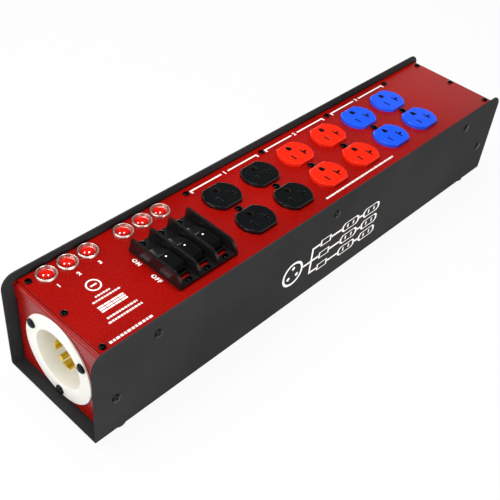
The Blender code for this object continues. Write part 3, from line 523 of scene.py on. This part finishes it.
slot_shade_liners = bmesh.new()
for side in (-1, 1):
    for outline, x, y in ((blade_slot, -BLADE_X, BLADE_Y), (tee_slot, BLADE_X, BLADE_Y),
                          (ground_hole, 0.0, GROUND_Y)):
        loops = []
        for inset, z in ((SHADE_LINER_GAP, SHADE_LINER_FOOT), (SHADE_LINER_GAP, SHADE_LINER_TOP),
                         (SHADE_LINER_SKIN, SHADE_LINER_TOP), (SHADE_LINER_SKIN, SHADE_LINER_FOOT)):
            loops.append([slot_shade_liners.verts.new((x + a, side * FACE_Y + y + b, z))
                          for a, b in outline(inset)])
        for first, second in zip(loops, loops[1:] + loops[:1]):
            for i in range(len(first)):
                j = (i + 1) % len(first)
                slot_shade_liners.faces.new((first[i], first[j], second[j], second[i]))
bmesh.ops.recalc_face_normals(slot_shade_liners, faces=slot_shade_liners.faces)
slot_shade_liner_mesh = smooth_mesh(slot_shade_liners, "outlet_slot_shade_liners")

outlet_screw = pan_screw("outlet_screw", 0.0034, 0.0018, length=0.011)
for index, x in enumerate(OUTLETS_X):
    dress(f"outlet_face_{index + 1}", PHASE_PLASTICS[index // 2], 0.0007, 4)
    dress(f"outlet_body_{index + 1}", phenolic, 0.0003)
    put(f"outlet_contacts_{index + 1}", contact_mesh, brass,
        matrix=Matrix.Translation((x, 0, 0)))
    # Dark sleeves in the slots, a painted shade.
    put(f"outlet_slot_shade_liners_{index + 1}", slot_shade_liner_mesh, phenolic,
        matrix=Matrix.Translation((x, 0, 0)))
    put(f"outlet_centre_screw_{index + 1}", outlet_screw, black_oxide,
        matrix=Matrix.Translation((x, 0, OUTLET_SCREW_Z)) @ Matrix.Rotation(
            0.4 + index, 4, "Z"),
        stands_for=[f"outlet_screw_{index + 1}"])


# Circuit breakers. Black moulded cases hang under the panel, and each has a black nylon
# rocker that tilts on a steel pin pressed through the case.

BREAKERS_X = (-0.1561, -0.13705, -0.1180)
BREAKER_Y = -0.0090
# The case comes from a grained mould and looks dull. The rocker is slick and shines.
case_plastic = moulded("black_breaker_case", "0C0C0D", "131314", 0.42, grain=0.0006,
                       strength=0.12, specular_ior_level=0.3)
rocker_plastic = moulded("black_rocker_nylon", "08090A", "0F1011", 0.20, grain=0.0010)
# Centreless ground steel: silvery, with its fine lines round the pin.
pin_steel = metal("ground_steel_pin", "A9ABAD", "C3C5C6", 0.22, 2500.0)
for index in range(3):
    dress(f"breaker_body_{index + 1}", case_plastic, 0.0002)
    dress(f"breaker_pin_{index + 1}", pin_steel, 0.0001)
    dress(f"breaker_rocker_{index + 1}", rocker_plastic, 0.0006, 3)


# Breaker guard. One black moulding over the three rockers: a floor with a wall on each
# side of every rocker, low at the far end and rounded over at the near end.

# Nylon from a smooth mould: black, with soft broad highlights along its rounded edges.
guard_plastic = moulded("black_guard_nylon", "110F10", "1A1718", 0.27, grain=0.0008,
                        strength=0.10, specular_ior_level=0.35)
dress("breaker_guard", guard_plastic, 0.0005, 3)


# Pilot lamps. Six in a row along the far edge, each a chrome bezel pressed over a clear
# red polycarbonate lens. The lens has fine rings inside, which break up the light.

LAMPS_X = (-0.2288, -0.20975, -0.1907, -0.1561, -0.13705, -0.1180)
LAMP_Y = 0.0393
LAMP_SEAT_Z = 0.0916
# The rings inside a lens are 1.2 mm apart: this is their wave in radians per metre
RING_WAVE = 5200.0
# Chrome on thin brass. Its colour is tinted warm, a painted reflection of the red panel and
# lens.
chrome = metal("bright_chrome_plate", "EBDBD0", "F4E8DE", 0.32, 1500.0, strength=0.0,
               spread=0.03)
# The lens colour is painted darker towards its rim: painted shade. Its polished outside gives
# sharp highlights, more than the ribbed body under it does, so it is a coat of its own.
red_lens, shader, place = new_material("clear_red_polycarbonate", roughness=0.08, ior=1.58,
                                       coat_weight=1.0, coat_roughness=0.05, coat_ior=1.8)
spot = add_node(red_lens, "ShaderNodeSeparateXYZ", {"Vector": place})
flat_spot = add_node(red_lens, "ShaderNodeCombineXYZ",
                     {"X": spot.outputs["X"], "Y": spot.outputs["Y"]})
reach = add_node(red_lens, "ShaderNodeVectorMath", {0: flat_spot.outputs[0]},
                 operation="LENGTH")
# Painted shade: the lens colour darkens from 3.6 mm out to its rim.
depth = add_node(red_lens, "ShaderNodeMapRange",
                 {"Value": reach.outputs["Value"], "From Min": 0.0036, "From Max": 0.0072})
rings = add_node(red_lens, "ShaderNodeMath",
                 {0: reach.outputs["Value"], 1: RING_WAVE}, operation="MULTIPLY")
ripple = add_node(red_lens, "ShaderNodeMath", {0: rings.outputs[0]}, operation="SINE")
lens_colour_painted_rim_shade = add_node(red_lens, "ShaderNodeMix",
                {0: depth.outputs[0], 6: linear("D0150B"), 7: linear("7A0705")},
                data_type="RGBA")
link(red_lens, lens_colour_painted_rim_shade.outputs[2], shader, "Base Color")
ribs = add_node(red_lens, "ShaderNodeBump",
                {"Height": ripple.outputs[0], "Strength": 0.06, "Distance": 0.0001})
link(red_lens, ribs.outputs["Normal"], shader, "Normal")

bezel_outline = softened([(0.0072, 0.0003), (0.0072, 0.0017), (0.0075, 0.0021),
                          (0.0080, 0.0020), (0.0085, 0.0010), (0.0086, 0.0)], 0.0004)
neck = [(0.0062, 0.0), (0.0062, -0.0160), (0.0050, -0.0160), (0.0050, 0.0002)]
bezel_mesh = smooth_mesh(turned(bezel_outline + neck, 64, closed=True), "bezel")
lens_outline = [(0.0, 0.0028), (0.0013, 0.00273), (0.0026, 0.00251), (0.0039, 0.00214),
                (0.0051, 0.00165), (0.0061, 0.00111), (0.0067, 0.00058), (0.0071, 0.0001)]
lens_foot = [(0.0071, 0.00005), (0.0047, 0.00005), (0.0047, -0.0150), (0.0, -0.0150)]
lens_mesh = smooth_mesh(turned(lens_outline + lens_foot, 64), "lens")
for index, x in enumerate(LAMPS_X):
    seat = Matrix.Translation((x, LAMP_Y, LAMP_SEAT_Z))
    put(f"chrome_bezel_{index + 1}", bezel_mesh, chrome, matrix=seat,
        stands_for=[f"lamp_bezel_{index + 1}"])
    put(f"red_lens_{index + 1}", lens_mesh, red_lens, matrix=seat,
        stands_for=[f"lamp_lens_{index + 1}"])


# Small screws. Black pan heads hold the panel at its ends and along the far edge, the
# sides of the shell, and the guard over its breakers.

PANEL_SCREW_Z = 0.09135
GUARD_SCREW_Z = 0.09395
SIDE_SCREW_Y = 0.05205
small_screw = pan_screw("small_screw", 0.0029, 0.0018)
side_screw = pan_screw("side_screw", 0.0038, 0.0015)
panel_places = [(x, y) for x in (-0.2427, 0.2474) for y in (-0.0419, 0.0, 0.0419)]
panel_places += [(x, 0.0419) for x in (-0.0865, 0.0054, 0.0973, 0.1892)]
for index, (x, y) in enumerate(panel_places):
    put(f"panel_screw_{index + 1}", small_screw, black_oxide,
        matrix=Matrix.Translation((x, y, PANEL_SCREW_Z)) @ Matrix.Rotation(
            1.3 * index, 4, "Z"))
side_places = [(-0.201, 0.0825), (0.0, 0.0825), (0.201, 0.0825), (-0.2405, 0.0433),
               (0.2405, 0.0433)]
for side, name in ((-1, "near"), (1, "far")):
    for index, (x, z) in enumerate(side_places):
        seat = Matrix.Translation((x, side * SIDE_SCREW_Y, z)) @ Matrix.Rotation(
            -side * math.pi / 2, 4, "X")
        put(f"{name}_side_screw_{index + 1}", side_screw, black_oxide,
            matrix=seat @ Matrix.Rotation(0.7 * index + side, 4, "Z"))
for index, x in enumerate(BREAKERS_X):
    for y, name in ((-0.0352, "near"), (0.0172, "far")):
        put(f"guard_{name}_screw_{index + 1}", small_screw, black_oxide,
            matrix=Matrix.Translation((x, y, GUARD_SCREW_Z)) @ Matrix.Rotation(
                0.9 * index + y * 40, 4, "Z"))


# Screen print. Thin white ink on the panel and the near side: phase numbers,
# switch words, a bracket over each pair of outlets, rows of plain dashes, and a diagram
# of the inlet, breakers and outlets. A white dot of the same ink on each rocker is a
# painted highlight.

INK_LIFT = 0.00004
INK_THICKNESS = 0.00003
BRACKET_Y = 0.0422
BRACKET_LINE = 0.0015
BRACKET_LEG_Y = (0.04145, 0.0390)
NUMBER_ROOM = 0.0040


def stroke(bm, start, end, width):
    """A straight printed line between two points."""
    first = Vector((*start, 0.0))
    last = Vector((*end, 0.0))
    run = (last - first).normalized() * width / 2
    side = Vector((-run.y, run.x, 0.0))
    bm.faces.new([bm.verts.new(p) for p in (first - side, last - side, last + side,
                                            first + side)])


def loop_stroke(bm, points, width):
    """A closed printed line of this width, inside a convex outline."""
    middle = sum((Vector((*p, 0.0)) for p in points), Vector()) / len(points)
    reach = max((Vector((*p, 0.0)) - middle).length for p in points)
    outer = [bm.verts.new((*p, 0.0)) for p in points]
    inner = [bm.verts.new(middle + (v.co - middle) * (1 - width / reach)) for v in outer]
    for i in range(len(outer)):
        j = (i + 1) % len(outer)
        bm.faces.new((outer[i], outer[j], inner[j], inner[i]))


def round_points(x, y, radius, count=40):
    """Points round a circle."""
    return [(x + radius * math.cos(2 * math.pi * i / count),
             y + radius * math.sin(2 * math.pi * i / count)) for i in range(count)]


def dash_row(bm, start, end, y, high, lengths, gap):
    """A row of plain dashes between two x values."""
    x = start
    index = 0
    while x < end - 0.0004:
        stop = min(x + lengths[index % len(lengths)], end)
        stroke(bm, (x, y), (stop, y), high)
        x = stop + gap
        index += 1


def words(text, height, weight=0.10, spacing=1.0):
    """Plain lettering as a flat mesh, centred, with capitals of this height."""
    curve = bpy.data.curves.new("words", "FONT")
    curve.body = text
    curve.space_character = spacing
    curve.offset = weight * 0.5
    curve.resolution_u = 3
    holder = bpy.data.objects.new("words", curve)
    bpy.context.scene.collection.objects.link(holder)
    bpy.context.view_layer.update()
    graph = bpy.context.evaluated_depsgraph_get()
    bm = bmesh.new()
    bm.from_mesh(holder.evaluated_get(graph).to_mesh())
    bpy.data.objects.remove(holder, do_unlink=True)
    bmesh.ops.remove_doubles(bm, verts=bm.verts, dist=0.0001)
    low = Vector([min(v.co[i] for v in bm.verts) for i in range(3)])
    high = Vector([max(v.co[i] for v in bm.verts) for i in range(3)])
    bmesh.ops.translate(bm, verts=bm.verts, vec=-(low + high) / 2)
    bmesh.ops.scale(bm, verts=bm.verts, vec=Vector((1, 1, 1)) * height / (high.y - low.y))
    return bm


def printed(name, bm, matrix, body="box"):
    """Lays flat marks on a surface as a thin film of ink."""
    bmesh.ops.recalc_face_normals(bm, faces=bm.faces)
    if sum(face.normal.z * face.calc_area() for face in bm.faces) < 0:
        bmesh.ops.reverse_faces(bm, faces=bm.faces)
    mesh = bpy.data.meshes.new(name)
    bm.to_mesh(mesh)
    bm.free()
    piece = put(name, mesh, white_ink, body, matrix @ Matrix.Translation((0, 0, INK_LIFT)))
    film = piece.modifiers.new("film", "SOLIDIFY")
    film.thickness = INK_THICKNESS
    film.offset = -1.0


# Epoxy screen ink: flat white, thin enough that it is a little uneven, in spots of 0.7 mm.
white_ink, shader, place = new_material("white_screen_ink", roughness=0.45, ior=1.5)
cover = add_node(white_ink, "ShaderNodeTexNoise",
                 {"Vector": place, "Scale": 1400.0, "Detail": 3.0})
tone = add_node(white_ink, "ShaderNodeMapRange",
                {"Value": cover.outputs["Fac"], "From Min": 0.25, "From Max": 0.5})
film = add_node(white_ink, "ShaderNodeMix",
                {0: tone.outputs[0], 6: linear("E6D3CB"), 7: linear("FBF6F2")},
                data_type="RGBA")
link(white_ink, film.outputs[2], shader, "Base Color")

for text, x, y in (("1", -0.2289, 0.0244), ("2", -0.2103, 0.0250), ("3", -0.1911, 0.0243)):
    printed(f"phase_number_{text}", words(text, 0.0040), Matrix.Translation((x, y, PANEL_TOP)))
for text, x, y in (("ON", -0.1707, 0.0064), ("OFF", -0.1712, -0.0166)):
    printed(f"switch_word_{text.lower()}", words(text, 0.0041, 0.12, 1.25),
            Matrix.Translation((x, y, PANEL_TOP)) @ Matrix.Rotation(-math.pi / 2, 4, "Z"))

rocker_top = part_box("breaker_rocker_1")[1].z
# A small white dot on each rocker's crown: a painted highlight.
for index, x in enumerate(BREAKERS_X):
    highlight_disc = bmesh.new()
    highlight_disc.faces.new([highlight_disc.verts.new((*point, 0)) for point in round_points(0, 0, 0.0008, 24)])
    printed(f"rocker_painted_highlight_{index + 1}", highlight_disc,
            Matrix.Translation((x, BREAKER_Y - 0.0008, rocker_top)), f"rocker_{index + 1}")

for index, (start, end, middle) in enumerate(((-0.0820, -0.0006, -0.0410),
                                              (0.0095, 0.0906, 0.0500),
                                              (0.1027, 0.1846, 0.1420))):
    line = bmesh.new()
    stroke(line, (start, BRACKET_Y), (middle - NUMBER_ROOM, BRACKET_Y), BRACKET_LINE)
    stroke(line, (middle + NUMBER_ROOM, BRACKET_Y), (end, BRACKET_Y), BRACKET_LINE)
    for x in (start + BRACKET_LINE / 2, end - BRACKET_LINE / 2):
        stroke(line, (x, BRACKET_LEG_Y[0]), (x, BRACKET_LEG_Y[1]), BRACKET_LINE)
    printed(f"outlet_bracket_{index + 1}", line, Matrix.Translation((0, 0, PANEL_TOP)))
    printed(f"bracket_number_{index + 1}", words(str(index + 1), 0.0042),
            Matrix.Translation((middle, BRACKET_Y, PANEL_TOP)))

# A ring with a bar, and rows of plain dashes under it
rules = bmesh.new()
loop_stroke(rules, round_points(-0.2100, 0.0086, 0.0061), 0.0012)
stroke(rules, (-0.2128, 0.0086), (-0.2072, 0.0086), 0.0014)
dash_row(rules, -0.2170, -0.2036, -0.0020, 0.0015, (0.0014, 0.0022, 0.0016), 0.0007)
dash_row(rules, -0.2222, -0.1973, -0.0058, 0.0015, (0.0022, 0.0014, 0.0018), 0.0007)
for y in (-0.0118, -0.0142, -0.0166):
    dash_row(rules, -0.2226, -0.1990, y, 0.0016, (0.0054, 0.0054, 0.0054), 0.0006)
dash_row(rules, -0.2238, -0.1965, -0.0238, 0.0017, (0.0020, 0.0015, 0.0024), 0.0007)
dash_row(rules, -0.2257, -0.1947, -0.0280, 0.0017, (0.0024, 0.0018, 0.0015), 0.0007)
dash_row(rules, -0.2370, -0.1975, -0.0424, 0.0021, (0.0024, 0.0018, 0.0030), 0.0009)
printed("marking_rules", rules, Matrix.Translation((0, 0, PANEL_TOP)))

edge_rule = bmesh.new()
dash_row(edge_rule, -0.0005, 0.0945, -0.0390, 0.0018, (0.0030, 0.0022, 0.0038, 0.0018),
         0.0007)
printed("edge_rule", edge_rule, Matrix.Translation((0, 0, PANEL_TOP)))

ON_NEAR_SIDE = Matrix.Translation((0, -0.0520, 0)) @ Matrix.Rotation(math.pi / 2, 4, "X")

# The diagram: the inlet's three phases, each through a breaker to two outlets. Its x and
# y are the box's X and Z.
diagram = bmesh.new()
loop_stroke(diagram, round_points(-0.0500, 0.0440, 0.0130), 0.0024)
for angle in (90, 210, 330):
    x = -0.0500 + 0.0062 * math.cos(math.radians(angle))
    y = 0.0440 + 0.0062 * math.sin(math.radians(angle))
    diagram.faces.new([diagram.verts.new((*p, 0)) for p in round_points(x, y, 0.0019, 20)])
for y in (0.0580, 0.0440, 0.0300):
    stroke(diagram, (-0.0250, y), (-0.0165, y), 0.0022)
    loop_stroke(diagram, [(-0.0160, y - 0.0036), (-0.0020, y - 0.0036),
                          (-0.0020, y + 0.0036), (-0.0160, y + 0.0036)], 0.0020)
    stroke(diagram, (-0.0015, y), (0.0125, y), 0.0022)
    for x in (0.0130, 0.0430):
        loop_stroke(diagram, [(x + 0.0030, y - 0.0050), (x + 0.0210, y - 0.0050),
                              (x + 0.0240, y - 0.0025), (x + 0.0240, y + 0.0025),
                              (x + 0.0210, y + 0.0050), (x + 0.0030, y + 0.0050),
                              (x, y + 0.0025), (x, y - 0.0025)], 0.0024)
        for dx in (0.0080, 0.0160):
            stroke(diagram, (x + dx, y - 0.0020), (x + dx, y + 0.0020), 0.0018)
    stroke(diagram, (0.0375, y), (0.0425, y), 0.0022)
stroke(diagram, (-0.0261, 0.0289), (-0.0261, 0.0591), 0.0022)
stroke(diagram, (-0.0365, 0.0440), (-0.0273, 0.0440), 0.0022)
printed("wiring_diagram", diagram, ON_NEAR_SIDE)


# Floor and light. A white paper sweep that keeps a soft shadow, a white surround, and
# soft lamps over the panel, the inlet end, the near side and the back. The two lamps over
# the panel stay out of the gloss, and two small catch lights there make the highlights.

def plain(name, size, location):
    """A flat square in the studio, which is no piece of the object."""
    bm = bmesh.new()
    bmesh.ops.create_grid(bm, x_segments=1, y_segments=1, size=size)
    mesh = bpy.data.meshes.new(name)
    bm.to_mesh(mesh)
    bm.free()
    piece = bpy.data.objects.new(name, mesh)
    piece.location = location
    bpy.context.scene.collection.objects.link(piece)
    return piece


floor = plain("floor", 6.0, (0, 0, -0.0002))
# Matt paper. The camera and the gloss see it nearly white, and its own pale grey keeps
# the shadow and lights the object plainly.
PAPER_WHITE = 0.93
paper, shader, place = new_material("white_paper_sweep", roughness=0.9)
shader.inputs["Base Color"].default_value = linear("DCDCDC")
ray = add_node(paper, "ShaderNodeLightPath")
shown = add_node(paper, "ShaderNodeMath",
                 {0: ray.outputs["Is Camera Ray"], 1: ray.outputs["Is Glossy Ray"]},
                 operation="MAXIMUM")
also = add_node(paper, "ShaderNodeMath",
                {0: shown.outputs[0], 1: ray.outputs["Is Transmission Ray"]},
                operation="MAXIMUM")
seen = add_node(paper, "ShaderNodeMath", {0: also.outputs[0], 1: PAPER_WHITE},
                operation="MULTIPLY")
glow = add_node(paper, "ShaderNodeEmission", {"Color": linear("FFFFFF"), "Strength": 1.0})
blend = add_node(paper, "ShaderNodeMixShader", {0: seen.outputs[0]})
paper.node_tree.links.new(shader.outputs[0], blend.inputs[1])
paper.node_tree.links.new(glow.outputs[0], blend.inputs[2])
paper.node_tree.links.new(blend.outputs[0],
                          paper.node_tree.nodes["Material Output"].inputs["Surface"])
floor.data.materials.append(paper)

world = bpy.data.worlds.new("white_surround")
world.use_nodes = True
bpy.context.scene.world = world
ray = add_node(world, "ShaderNodeLightPath")
shown = add_node(world, "ShaderNodeMath",
                 {0: ray.outputs["Is Camera Ray"], 1: ray.outputs["Is Glossy Ray"]},
                 operation="MAXIMUM")
also = add_node(world, "ShaderNodeMath",
                {0: shown.outputs[0], 1: ray.outputs["Is Transmission Ray"]},
                operation="MAXIMUM")
level = add_node(world, "ShaderNodeMapRange",
                 {"Value": also.outputs[0], "To Min": 0.45, "To Max": 1.0})
surround = world.node_tree.nodes["Background"]
surround.inputs["Color"].default_value = linear("FFFFFF")
world.node_tree.links.new(level.outputs[0], surround.inputs["Strength"])


def soft_lamp(name, location, aim, size, watts, in_gloss=True):
    """A flat studio lamp turned to a point, seen in gloss and metal or not."""
    data = bpy.data.lights.new(name, "AREA")
    data.shape = "RECTANGLE"
    data.size, data.size_y = size
    data.energy = watts
    lamp = bpy.data.objects.new(name, data)
    lamp.location = location
    toward = Vector(aim) - Vector(location)
    lamp.rotation_euler = toward.to_track_quat("-Z", "Y").to_euler()
    lamp.visible_glossy = in_gloss
    bpy.context.scene.collection.objects.link(lamp)


soft_lamp("overhead_lamp_near", (-0.02, 0.04, 0.58), (-0.03, 0, 0.09), (0.2, 0.2), 1.35,
          in_gloss=False)
soft_lamp("overhead_lamp_far", (-0.30, 0.39, 0.80), (-0.05, 0, 0.09), (0.3, 0.3), 1.3,
          in_gloss=False)
soft_lamp("catch_light_near", (-0.015, 0.10, 0.82), (-0.05, 0, 0.09), (0.12, 0.12), 0.75)
soft_lamp("catch_light_far", (-0.30, 0.39, 0.82), (-0.05, 0, 0.09), (0.12, 0.12), 0.9)
soft_lamp("inlet_end_lamp", (-1.00, 0.05, 0.75), (-0.25, 0, 0.05), (0.35, 0.35), 2.9)
soft_lamp("inlet_edge_lamp", (-1.00, 0.58, 0.45), (-0.25, 0, 0.09), (0.6, 0.05), 2.6)
soft_lamp("near_side_lamp", (-0.30, -1.25, 0.38), (-0.10, 0, 0.05), (0.6, 0.4), 10.5)
soft_lamp("back_lamp", (0.90, 1.10, 0.40), (0.15, 0, 0.05), (0.6, 0.4), 4.0)

# A black card hung over the far side, as a studio has, keeps the sheen off the panel. It
# only shows in the gloss.
card = plain("black_card", 1.7, (0.20, 0.60, 1.20))
felt, shader, place = new_material("black_felt", roughness=1.0)
shader.inputs["Base Color"].default_value = linear("1A1A1A")
card.data.materials.append(felt)
card.visible_camera = False
card.visible_diffuse = False
card.visible_shadow = False
card.visible_transmission = False

camera = bpy.data.objects.new("camera", bpy.data.cameras.new("camera"))
camera.data.sensor_width = 36.0
camera.data.lens = 61.015
# Its columns are the camera's right, up and back, and its place, as solved from the photo
camera.matrix_world = Matrix(((0.68697, 0.44337, -0.57576, -0.47519),
                              (-0.72156, 0.51013, -0.46810, -0.34884),
                              (0.08617, 0.73702, 0.67036, 0.53272),
                              (0.0, 0.0, 0.0, 1.0)))
bpy.context.scene.collection.objects.link(camera)
bpy.context.scene.camera = camera
bpy.context.scene.view_settings.view_transform = "Standard"
